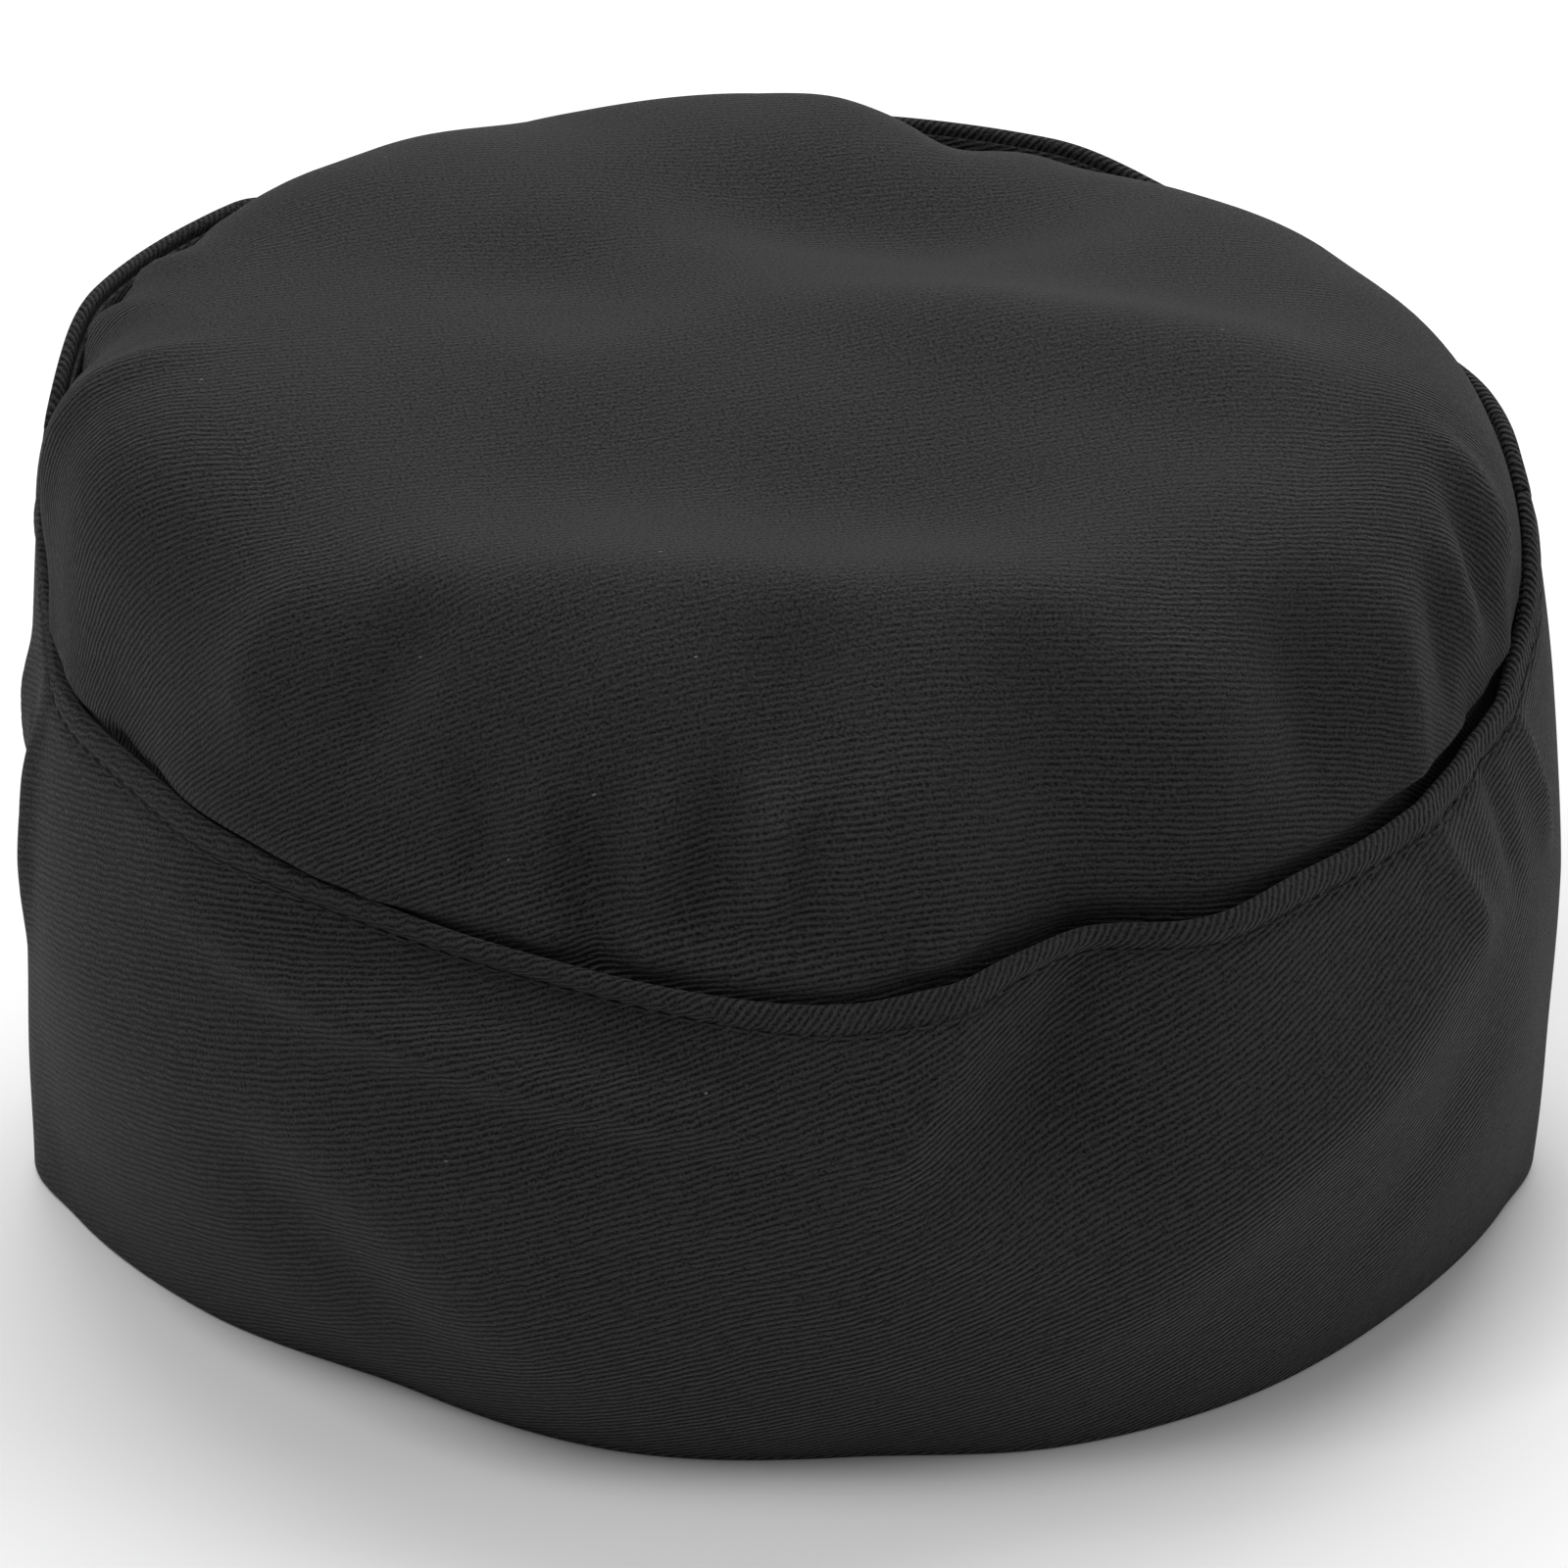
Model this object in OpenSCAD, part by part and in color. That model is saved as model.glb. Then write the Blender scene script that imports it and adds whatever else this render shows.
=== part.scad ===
// Soft chef's cap: a puffed one-piece crown inside a free-standing cuff that is low over the brow and
// high at the back, with an elastic back. Every node is one cut piece of cloth, tape or a row of thread.
// +Z is up, the brow faces -Y, and the origin is on the table under the middle of the cap.

/* [Head opening] */
// Half of the width across the sides, at the rim
rim_half_width = 95; // [88:0.5:105]
// Depth of the rim in front of the origin
rim_front = 73; // [68:0.5:80]
// Depth of the rim behind the origin
rim_back = 76; // [70:0.5:82]

/* [Cuff] */
// How far the sides of the cuff swell past the rim
side_swell = 1.5; // [0:0.5:4]
// Depth of the cuff's belly, in front and behind
belly_depth = 87; // [83:0.5:92]
// Height of the belly, where the cuff is widest
belly_z = 44; // [35:1:55]
// Height of the cuff's edge over the brow
cuff_front_height = 69; // [60:1:80]
// Height of the cuff's edge at the temples, before it climbs
cuff_temple_height = 75; // [70:1:85]
// Height of the cuff's edge at the back
cuff_back_height = 108; // [95:1:110]
// Where the side seams lie, as an angle from the brow
side_seam_angle = 94; // [85:1:105]

/* [Crown] */
// Height of the middle of the crown
crown_height = 118; // [112:1:125]
// Height at which the crown's wall turns into the shoulder
shoulder_z = 88; // [80:1:95]
// Gap between the cuff and the crown at the cuff's edge
crown_gap = 3; // [2:0.5:5]

/* [Cloth] */
// Thickness of the twill
twill = 0.6; // [0.4:0.1:0.8]
// Thickness of the non-woven interlining
interlining = 0.4; // [0.2:0.1:0.6]
// Thickness of the sweatband tape
sweatband_thickness = 1; // [0.6:0.1:1.4]
// Height of the sweatband
sweatband_height = 30; // [25:1:35]
// Thickness of the elastic
elastic_thickness = 1.2; // [0.8:0.1:1.6]
// Width of the elastic
elastic_width = 20; // [15:1:22]
// Thickness of sewing thread
thread = 0.4; // [0.3:0.1:0.5]

/* [Hidden] */

ply_gap = 0.1;                    // air between two plies that lie together
loose_gap = 0.4;                  // air between pieces that are sewn together only along their edges
step = 7.5;                       // degrees between the columns of a strip
top_z = 110;                      // height at which the wall profiles end
top_half_width = 91;
top_front = 80;
top_back = 84;
climb_start = 66;                 // the cuff's edge climbs between these angles from the brow
climb_end = 102;
climb_height = 103;
seam_half_gap = 0.3;              // degrees that the front and the back stand off a side seam
seam_thread_half = 0.2;           // degrees that a seam's thread covers to each side
seam_low = 2;
seam_allowance = 8;
stitch_inset = 3;                 // from the cuff's edge to its row of stitches
interlining_trim = 1;             // the interlining stops short of the cuff's edges
crown_low = 0.6;                  // the crown's lower edge, inside the rim's fold
gather_z = 10;                    // height of the thread that gathers the crown
binding_height = 2.4;
rim_stitch_z = 5;
sweatband_low = 6;
sweatband_angle = 108;            // the sweatband's ends, as an angle from the brow
casing_angle = 112;               // the elastic casing's ends
casing_low = 3;
casing_hem = 3;                   // from the casing's edge to the elastic
casing_high = casing_low + elastic_width + 2 * casing_hem;
elastic_end = 2;                  // degrees from the casing's end to the elastic's
row_end = 1;                      // degrees from a piece's end to the end of its row of stitches
row_inset = 1.5;                  // from an inner piece's edge to its row of stitches
tack_width = 3;                   // degrees that a bar tack covers
tack_from_end = 5;                // degrees from the casing's end to the tack's middle
tack_margin = 2;                  // from the elastic's edge to the tack's end
label_half_angle = 9.5;           // the label is about 30 mm wide
label_height = 22;
label_thickness = 0.3;
shoulder_run = 26;                // how far the crown's shoulder turns inwards
shoulder_share = 0.78;            // how much of the crown's rise the shoulder takes
crown_columns = [0 : step : 360 - step];
wall_rows = 7;
shoulder_rows = 6;
flat_rows = 4;
eye_share = 0.03;                 // the grid stops at this share of the top, and a disc closes it
eye_radius = 3;

// Depths of the plies, measured inwards from the outside of the cuff.
shell_in = twill;
interlining_out = shell_in + ply_gap;
interlining_in = interlining_out + interlining;
facing_out = interlining_in + ply_gap;
facing_in = facing_out + twill;
crown_out = facing_in + 2 * loose_gap;
crown_in = crown_out + twill;
lining_out = crown_in + loose_gap;
lining_in = lining_out + sweatband_thickness;
casing_out = lining_out + elastic_thickness + 2 * ply_gap;
casing_in = casing_out + twill;
label_out = casing_in + thread + ply_gap;

twill_black = [0.16, 0.16, 0.165];
thread_black = [0.10, 0.10, 0.105];
tape_black = [0.13, 0.13, 0.135];

// ---- The cap's own surface ----

// A size that runs from rim to belly and on to top, as a smooth barrel.
function barrel(z, rim, belly, top) =
    z < belly_z
        ? rim + (belly - rim) * (1 - pow(1 - z / belly_z, 2))
        : belly - (belly - top) * pow((z - belly_z) / (top_z - belly_z), 2);
function half_width(z) =
    barrel(z, rim_half_width, rim_half_width + side_swell, top_half_width);
function depth(t, z) =
    cos(t) > 0 ? barrel(z, rim_front, belly_depth, top_front) : barrel(z, rim_back, belly_depth, top_back);

// The point of the surface at angle t from the brow and height z, moved inwards by inset.
function wall(t, z, inset = 0) =
    let (a = half_width(z), b = depth(t, z), n = [b * sin(t), -a * cos(t)],
         p = [a * sin(t), -b * cos(t)] - inset * n / norm(n))
    [p.x, p.y, z];

function smooth(x) = let (u = max(0, min(1, x))) u * u * (3 - 2 * u);
function mix(a, b, share) = a + (b - a) * share;

// Height of the cuff's edge: a shallow dip over the brow, a climb at the sides, and high behind.
function from_brow(t) = let (u = abs(t) % 360) u > 180 ? 360 - u : u;
function cuff_edge(t) =
    let (u = from_brow(t))
    mix(mix(cuff_front_height, cuff_temple_height, smooth(u / climb_start)),
        mix(climb_height, cuff_back_height, smooth((u - climb_end) / (180 - climb_end))),
        smooth((u - climb_start) / (climb_end - climb_start)));

// The crown's wall leaves the cuff towards the top by crown_gap.
function crown_inset(z) = crown_gap * smooth(z / cuff_front_height);

// ---- Strips ----

// Closes a grid of points (rows x columns) on two skins into one solid. Skin 0 is outside.
module two_skins(outer, inner, closed) {
    rows = len(outer);
    columns = len(outer[0]);
    last = closed ? columns : columns - 1;
    count = rows * columns;
    function id(skin, i, j) = skin * count + i * columns + (j % columns);
    function quad(a, b, c, d) = [[a, b, c], [a, c, d]];
    faces = [
        for (i = [0 : rows - 2], j = [0 : last - 1]) each concat(
            quad(id(0, i, j), id(0, i + 1, j), id(0, i + 1, j + 1), id(0, i, j + 1)),
            quad(id(1, i, j), id(1, i, j + 1), id(1, i + 1, j + 1), id(1, i + 1, j))),
        for (j = [0 : last - 1]) each concat(
            quad(id(0, 0, j), id(0, 0, j + 1), id(1, 0, j + 1), id(1, 0, j)),
            quad(id(0, rows - 1, j), id(1, rows - 1, j), id(1, rows - 1, j + 1), id(0, rows - 1, j + 1))),
        if (!closed) for (i = [0 : rows - 2]) each concat(
            quad(id(0, i, 0), id(1, i, 0), id(1, i + 1, 0), id(0, i + 1, 0)),
            quad(id(0, i, columns - 1), id(0, i + 1, columns - 1),
                 id(1, i + 1, columns - 1), id(1, i, columns - 1)))
    ];
    points = concat([for (r = outer) each r], [for (r = inner) each r]);
    polyhedron(points = points, faces = faces, convexity = 6);
}

// The angles of a strip's columns: its two ends, and the whole steps between them, so that strips
// that lie over each other bend at the same places.
function columns_between(t0, t1) =
    t1 - t0 == 360
        ? crown_columns
        : [t0, for (t = [ceil(t0 / step) * step : step : t1]) if (t > t0 && t < t1) t, t1];

// A strip of cloth that follows the cap's surface from angle t0 to t1, between heights low(t) and
// high(t), with its outside out mm and its inside in mm behind the cuff's outside. A strip that
// belongs to the crown also leaves the cuff towards the top.
module strip(t0, t1, low, high, out, in, rows = 4, on_crown = false) {
    function gap(z) = on_crown ? crown_inset(z) : 0;
    function skin(inset) = [
        for (i = [0 : rows]) [
            for (t = columns_between(t0, t1))
                let (z = mix(low(t), high(t), i / rows)) wall(t, z, inset + gap(z))
        ]
    ];
    two_skins(skin(out), skin(in), t1 - t0 == 360);
}

// A row of thread at height z(t), whose outside lies out mm behind the cuff's outside.
module thread_row(t0, t1, z, out, on_crown = false) {
    strip(t0, t1, function(t) z(t) - thread / 2, function(t) z(t) + thread / 2, out, out + thread,
          rows = 1, on_crown = on_crown);
}

// ---- Crown ----

// Row k of the crown, from the rim up the wall, over the shoulder and to the middle of the top.
// drop moves the surface inwards, for the inner skin.
function crown_row(k, drop) = k <= wall_rows ? wall_row(k, drop) : top_row(k - wall_rows, drop);
function wall_row(k, drop) =
    let (z = mix(crown_low, shoulder_z, k / wall_rows))
    [for (t = crown_columns) wall(t, z, crown_out + drop + crown_inset(z))];
function top_row(k, drop) =
    let (turn = 90 * min(1, k / shoulder_rows),
         flat_share = max(0, k - shoulder_rows) / flat_rows,
         rise = crown_height - shoulder_z,
         inset = crown_out + crown_inset(shoulder_z) + drop + shoulder_run * (1 - cos(turn)),
         share = 1 - (1 - eye_share) * flat_share,
         lift = mix(shoulder_share * sin(turn), 1, sin(90 * flat_share)),
         z = shoulder_z + rise * lift - drop * sin(turn))
    [for (t = crown_columns) let (p = wall(t, shoulder_z, inset)) [p.x * share, p.y * share, z]];
crown_rows = wall_rows + shoulder_rows + flat_rows;

module crown_panel() color(twill_black) {
    two_skins([for (k = [0 : crown_rows]) crown_row(k, 0)],
              [for (k = [0 : crown_rows]) crown_row(k, twill)], closed = true);
    translate([0, 0, crown_height - twill]) cylinder(r = eye_radius, h = twill, $fn = 48);
}

module crown_gather_stitch() color(thread_black)
    thread_row(0, 360, function(t) gather_z, crown_out - thread, on_crown = true);

// ---- Cuff ----

// One ply of the cuff's front or back, trim mm short of the cuff's lower and upper edges.
module cuff_ply(t0, t1, out, in, trim = 0)
    strip(t0 + seam_half_gap, t1 - seam_half_gap, function(t) trim, function(t) cuff_edge(t) - trim,
          out, in, rows = 8);
module cuff_front(out, in, trim = 0) cuff_ply(-side_seam_angle, side_seam_angle, out, in, trim);
module cuff_back(out, in, trim = 0) cuff_ply(side_seam_angle, 360 - side_seam_angle, out, in, trim);

module cuff_front_shell() color(twill_black) cuff_front(0, shell_in);
module cuff_back_shell() color(twill_black) cuff_back(0, shell_in);
module cuff_front_interlining() color("dimgray")
    cuff_front(interlining_out, interlining_in, interlining_trim);
module cuff_back_interlining() color("dimgray")
    cuff_back(interlining_out, interlining_in, interlining_trim);
module cuff_front_facing() color(twill_black) cuff_front(facing_out, facing_in);
module cuff_back_facing() color(twill_black) cuff_back(facing_out, facing_in);

module cuff_edge_stitch() color(thread_black)
    thread_row(0, 360, function(t) cuff_edge(t) - stitch_inset, -thread);

// The thread of a side seam, up the inside of the facing.
module side_seam_stitch(t) color(thread_black)
    strip(t - seam_thread_half, t + seam_thread_half, function(t) seam_low,
          function(t) cuff_edge(t) - seam_allowance, facing_in, facing_in + thread, rows = 8);
module side_seam_stitch_left() side_seam_stitch(-side_seam_angle);
module side_seam_stitch_right() side_seam_stitch(side_seam_angle);

// ---- Rim and lining ----

function rim_outline(inset) = [for (t = crown_columns) let (p = wall(t, 0, inset)) [p.x, p.y]];

// An upright ring of tape around the head opening, standing on the table.
module rim_binding() color(tape_black)
    linear_extrude(binding_height) difference() {
        polygon(rim_outline(lining_out));
        polygon(rim_outline(lining_in));
    }

module rim_stitch() color(thread_black)
    thread_row(0, 360, function(t) rim_stitch_z, lining_out, on_crown = true);

module sweatband() color(tape_black)
    strip(-sweatband_angle, sweatband_angle, function(t) sweatband_low, function(t) sweatband_height,
          lining_out, lining_in, on_crown = true);

module sweatband_stitch() color(thread_black)
    thread_row(row_end - sweatband_angle, sweatband_angle - row_end,
               function(t) sweatband_height - row_inset, lining_in, on_crown = true);

module back_elastic() color("black")
    strip(casing_angle + elastic_end, 360 - casing_angle - elastic_end,
          function(t) casing_low + casing_hem, function(t) casing_high - casing_hem,
          lining_out, lining_out + elastic_thickness, on_crown = true);

module elastic_casing() color(twill_black)
    strip(casing_angle, 360 - casing_angle, function(t) casing_low, function(t) casing_high,
          casing_out, casing_in, on_crown = true);

module casing_stitch() color(thread_black)
    thread_row(casing_angle + row_end, 360 - casing_angle - row_end,
               function(t) casing_high - row_inset, casing_in, on_crown = true);

// A bar tack holds each end of the elastic to the casing.
module elastic_tack(t) color(thread_black)
    strip(t - tack_width / 2, t + tack_width / 2, function(t) casing_low + casing_hem + tack_margin,
          function(t) casing_high - casing_hem - tack_margin, casing_in, casing_in + thread,
          on_crown = true);
module elastic_tack_left() elastic_tack(360 - casing_angle - tack_from_end);
module elastic_tack_right() elastic_tack(casing_angle + tack_from_end);

// A blank woven label, hung inside the back from the casing's upper edge.
label_top = casing_high - row_inset;
module care_label() color("whitesmoke")
    strip(180 - label_half_angle, 180 + label_half_angle, function(t) label_top - label_height,
          function(t) label_top, label_out, label_out + label_thickness, on_crown = true);

module care_label_stitch() color(thread_black)
    thread_row(180 - label_half_angle + row_end, 180 + label_half_angle - row_end,
               function(t) label_top - row_inset, label_out + label_thickness, on_crown = true);

crown_panel();
crown_gather_stitch();
cuff_front_shell();
cuff_back_shell();
cuff_front_interlining();
cuff_back_interlining();
cuff_front_facing();
cuff_back_facing();
cuff_edge_stitch();
side_seam_stitch_left();
side_seam_stitch_right();
rim_binding();
rim_stitch();
sweatband();
sweatband_stitch();
back_elastic();
elastic_casing();
casing_stitch();
elastic_tack_left();
elastic_tack_right();
care_label();
care_label_stitch();
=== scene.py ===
"""A soft black twill chef's cap on a pale floor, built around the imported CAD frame.

Sizes are millimetres until a mesh is made. An angle t is in degrees from the brow (-Y), positive
towards +X. The cuff, and everything inside it, is placed by one function: cuff_radius(t, z).
"""

import math

import bpy
import numpy as np
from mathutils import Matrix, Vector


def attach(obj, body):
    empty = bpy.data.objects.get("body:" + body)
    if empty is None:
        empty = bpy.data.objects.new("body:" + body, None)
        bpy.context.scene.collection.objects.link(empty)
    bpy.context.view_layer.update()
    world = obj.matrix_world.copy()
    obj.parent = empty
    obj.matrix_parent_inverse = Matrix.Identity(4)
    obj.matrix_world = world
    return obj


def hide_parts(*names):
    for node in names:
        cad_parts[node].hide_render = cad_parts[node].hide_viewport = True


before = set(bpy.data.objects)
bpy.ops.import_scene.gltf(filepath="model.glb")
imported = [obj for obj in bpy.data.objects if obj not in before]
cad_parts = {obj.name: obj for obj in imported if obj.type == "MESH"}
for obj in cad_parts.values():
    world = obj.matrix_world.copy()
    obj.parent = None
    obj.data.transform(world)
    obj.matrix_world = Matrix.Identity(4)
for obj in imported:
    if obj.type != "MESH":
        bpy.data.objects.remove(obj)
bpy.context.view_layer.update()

MM = 0.001
SEED = 11

# ---- The cap's own shape: (angle, value) points, joined by smooth closed curves ----

# Distances from the axis: at the rim, at the belly, and how far the cloth leans in above the belly.
RIM = [(-179, 77), (-150, 78), (-122, 83), (-104, 91), (-90, 95), (-81, 90), (-62, 80.5), (-38, 72),
       (-14, 73.5), (6, 72.5), (26, 77.5), (42, 80.5), (62, 84), (82, 91), (91, 95), (104, 91), (122, 84),
       (150, 79)]
BELLY = [(-179, 87), (-150, 87.5), (-122, 90), (-100, 94.3), (-90, 94.8), (-80, 93.2), (-60, 91.3),
         (-40, 90), (-15, 90), (10, 90), (35, 91), (60, 92.8), (80, 95.5), (92, 97), (104, 95.5), (122, 91),
         (150, 88)]
BELLY_Z = 42
LEAN = [(-179, 1.5), (-120, 1.2), (-95, 1.2), (-80, 3), (-60, 5), (-35, 6.5), (5, 7), (35, 6.5), (60, 5),
        (80, 3), (95, 2), (120, 1.8)]
LEAN_HEIGHT = 28
LEAN_POWER = 1.4
# The cuff's upper edge.
HEIGHT = [(-179, 110), (-165, 106), (-140, 105), (-125, 111.5), (-106, 110.5), (-97, 105), (-91, 94),
          (-86, 83), (-80, 76), (-62, 74.6), (-50, 73.4), (-41, 72.2), (-27, 71), (-10, 69), (5, 67.7),
          (13, 69), (21, 70.6), (32, 70.4), (45, 71.8), (58, 73), (72, 75.5), (84, 81.5), (92, 89.5),
          (100, 96), (120, 100), (140, 105), (155, 109.5)]
# The crown: its reach near the top, and how square its shoulder is there.
CROWN_HIGH = [(-179, 81.5), (-150, 83.5), (-120, 88), (-100, 90.5), (-90, 90.5), (-80, 88.5), (-60, 81),
              (-35, 74), (0, 70.5), (35, 74), (60, 81), (80, 87), (90, 88.5), (100, 88.5), (120, 87),
              (135, 83), (158, 82.3)]
CROWN_SHARPNESS = [(-179, 8), (-150, 8), (-120, 8), (-90, 9), (-60, 6), (0, 5.2), (60, 5.5), (90, 6),
                   (120, 6), (138, 5.5), (158, 5)]
# How far the crown's cloth is pushed out over the cuff's edge, just above it.
CROWN_OVER = [(-179, 0), (-100, 0), (-80, 0.1), (-60, 0.3), (-40, 0.9), (-12, 1), (4, 0.9), (11, 0), (90, 0)]
OVER_HEIGHT, OVER_REACH = 2.5, 3
# How far the crown stands in from the outside of the cuff, at the cuff's edge.
CROWN_CLEAR = [(-179, 3), (-118, 5.5), (-92, 3), (-80, 2.6), (-20, 2.6), (5, 3), (13, 4.5), (26, 5.2),
               (44, 4), (60, 4.5), (85, 3.6), (120, 3)]
CROWN_HIGH_Z = 106
CROWN_LOW_Z = 64
CROWN_MIDDLE = 56
CROWN_TOP = 115.5
CROWN_TILT = 0.045                # how much lower the top is in front

# ---- Plies and edges ----

PLY = 0.5
ROLL = 0.9                        # radius of the rolled edge
ROLL_LEG = 4                      # how far the cloth runs on past a roll
FACING_INSET = 1.9
FACING_TRIM = 1.6
INTERLINING_INSET = 0.7
INTERLINING = 0.35
CROWN_INSET = 2.6
LINING_INSET = 3.9
TAPE = 0.8
SEAM_ANGLE = 94
SEAM_GAP = 0.08
COLUMN = 0.6                      # degrees between the cuff's columns
CROWN_COLUMNS = 400


def around(points, t):
    """The value at the angles t of a smooth closed curve through (angle, value) points."""
    a = np.array([p[0] for p in points], float)
    v = np.array([p[1] for p in points], float)
    a, v = np.concatenate([a - 360, a, a + 360]), np.tile(v, 3)
    h, rise = np.diff(a), np.diff(v) / np.diff(a)
    slope = np.zeros_like(v)
    w0, w1 = 2 * h[1:] + h[:-1], h[1:] + 2 * h[:-1]
    same = rise[:-1] * rise[1:] > 0
    with np.errstate(divide="ignore", invalid="ignore"):
        mean = (w0 + w1) / (w0 / rise[:-1] + w1 / rise[1:])
    slope[1:-1] = np.where(same, mean, 0)
    t = (np.asarray(t, float) + 180) % 360 - 180
    i = np.clip(np.searchsorted(a, t) - 1, 0, len(h) - 1)
    u = (t - a[i]) / h[i]
    return (v[i] * (1 + 2 * u) * (1 - u) ** 2 + slope[i] * h[i] * u * (1 - u) ** 2
            + v[i + 1] * u * u * (3 - 2 * u) + slope[i + 1] * h[i] * u * u * (u - 1))


def smooth(x):
    x = np.clip(x, 0, 1)
    return x * x * (3 - 2 * x)


def turn_between(t, t0):
    """The signed angle from t0 to t."""
    return (t - t0 + 180) % 360 - 180


FAR = 1e9


def nearest_on_line(x, y, line):
    """How far each point lies from a line through a few points, and how far along it, 0 to 1."""
    ends = np.array(line, float)
    steps = np.hypot(*np.diff(ends, axis=0).T)
    best = np.full(np.broadcast(x, y).shape, FAR)
    share = np.zeros_like(best)
    for i, step in enumerate(steps):
        dx, dy = ends[i + 1] - ends[i]
        u = np.clip(((x - ends[i, 0]) * dx + (y - ends[i, 1]) * dy) / step ** 2, 0, 1)
        d = np.hypot(x - ends[i, 0] - u * dx, y - ends[i, 1] - u * dy)
        share = np.where(d < best, (steps[:i].sum() + u * step) / steps.sum(), share)
        best = np.minimum(best, d)
    return best, share


TAPER = 0.4                       # the share of a fold's line over which each end dies away


def folds(x, y, table):
    """The sum of soft ridges, each (height, half width, line), that die away towards the ends of their
    lines. A hollow's height is negative."""
    total = np.zeros(np.broadcast(x, y).shape)
    for height, width, line in table:
        distance, share = nearest_on_line(x, y, line)
        total += height * np.exp(-(distance / width) ** 2) * smooth(np.minimum(share, 1 - share) / TAPER)
    return total


WAVE_STRETCH = (0.7, 1.5)


def waves(x, y, size, count, seed):
    """Soft seeded unevenness of height about 1, whose waves are about size long."""
    rng = np.random.default_rng(seed)
    total = np.zeros(np.broadcast(x, y).shape)
    for _ in range(count):
        heading, phase = rng.uniform(0, 2 * math.pi), rng.uniform(0, 2 * math.pi)
        stretch = rng.uniform(*WAVE_STRETCH)
        k = 2 * math.pi / (size * stretch)
        total += np.cos(k * (x * math.cos(heading) + y * math.sin(heading)) + phase)
    return total / math.sqrt(count)


# ---- The cuff ----

CUFF_MM_PER_DEG = 1.57            # along the belly
# Ridges (+) and hollows (-) of the cuff's cloth: height, half width, then points (angle, z).
CUFF_FOLDS = [
    (-3.4, 3.8, [(-56, 69), (-40, 67), (-20, 65), (10, 59)]),
    (3.2, 3.8, [(-64, 64), (-50, 62), (-27, 59), (2, 53.5), (14, 48)]),
    (-8.3, 11, [(35, 82), (25, 60), (16, 34)]), (2.8, 5, [(18, 72), (12, 59), (5, 42)]),
    (2.6, 9, [(80, 72), (58, 52), (42, 40), (14, 8)]), (1.4, 4, [(14, 71), (28, 71), (48, 71)]),
    (1.3, 9, [(-44, 52), (-29, 31), (-10, 0)]), (-1.9, 9, [(-54, 46), (-38, 22), (-28, -4)]),
    (-1.2, 8, [(-22, 46), (-4, 30), (4, 8)]), (-1.0, 7, [(72, 44), (56, 26), (46, 6)]),
    (1.3, 2.2, [(-82, 78), (-84, 60), (-86, 30)]), (1.2, 1.9, [(-88, 78), (-92, 64), (-97, 46)]),
    (-1.2, 2.0, [(-85, 76), (-88, 60), (-90, 40)]), (1.5, 2.6, [(-92, 96), (-99, 80), (-104, 60)]),
    (-1.2, 2.4, [(-96, 92), (-102, 78), (-108, 60)]), (-1.2, 2.2, [(-92, 44), (-95, 24), (-96, 4)]),
    (1.2, 2.8, [(60, 76), (62, 64), (66, 48)]), (1.3, 2.4, [(75, 80), (79, 66), (84, 48)]),
    (-1.3, 3, [(70, 78), (72, 64), (74, 50)]), (1.2, 3, [(96, 88), (101, 70), (104, 50)]),
    (1.8, 7, [(108, 96), (124, 76), (146, 58)]), (-1.6, 9, [(122, 98), (140, 82), (158, 76)]),
    (1.6, 8, [(174, 96), (160, 78), (140, 46)]), (-1.4, 9, [(-176, 92), (-164, 76), (-150, 70)]),
    (1.9, 7, [(-112, 92), (-128, 74), (-150, 52)]), (-1.5, 8, [(-118, 70), (-130, 56), (-142, 40)]),
    (1.4, 6, [(-160, 98), (-148, 84), (-132, 76)]),
]
ELASTIC_START, ELASTIC_END = 116, 244
GATHERS = 17
GATHER_SHIFT = 0.25
GATHER_TALL, GATHER_REACH, GATHER_LEAN = (1.2, 2.4), (34, 62), (-0.06, 0.06)
GATHER_WIDTH = 2.1                # degrees
GATHER_FULL_TO = 8
RIM_FLAT_FROM, RIM_FLAT_OVER = 6, 12
DRAWN_IN, DRAWN_IN_TALL, DRAWN_IN_ENDS = 0.8, 50, 10
LOOSE_FROM = 25                   # below this height the rim's seam holds the cloth flat
UNEVEN, UNEVEN_SIZE, UNEVEN_COUNT = 0.35, 38, 7
UNEVEN_RADIUS, UNEVEN_SLANT = 90, 0.7


def cuff_folds(t, z):
    s = turn_between(t, 0) * CUFF_MM_PER_DEG
    table = [(h, w, [(a * CUFF_MM_PER_DEG, b) for a, b in line]) for h, w, line in CUFF_FOLDS]
    return folds(s, z, table)


def back_gathers(t, z):
    """Upright puckers where the elastic draws the back of the rim together."""
    rng = np.random.default_rng(SEED)
    u = t % 360
    total = np.zeros(np.broadcast(t, z).shape)
    for i in range(GATHERS):
        place = i + 0.5 + rng.uniform(-GATHER_SHIFT, GATHER_SHIFT)
        middle = ELASTIC_START + place * (ELASTIC_END - ELASTIC_START) / GATHERS
        height = rng.uniform(*GATHER_TALL)
        reach = rng.uniform(*GATHER_REACH)
        lean = rng.uniform(*GATHER_LEAN)
        fade = (1 - smooth((z - GATHER_FULL_TO) / reach)) * smooth((z + RIM_FLAT_FROM) / RIM_FLAT_OVER)
        total += height * fade * np.exp(-(turn_between(u, middle + lean * z) / GATHER_WIDTH) ** 2)
    inside = smooth((u - ELASTIC_START) / DRAWN_IN_ENDS) * smooth((ELASTIC_END - u) / DRAWN_IN_ENDS)
    return total - DRAWN_IN * inside * (1 - smooth(z / DRAWN_IN_TALL))


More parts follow.
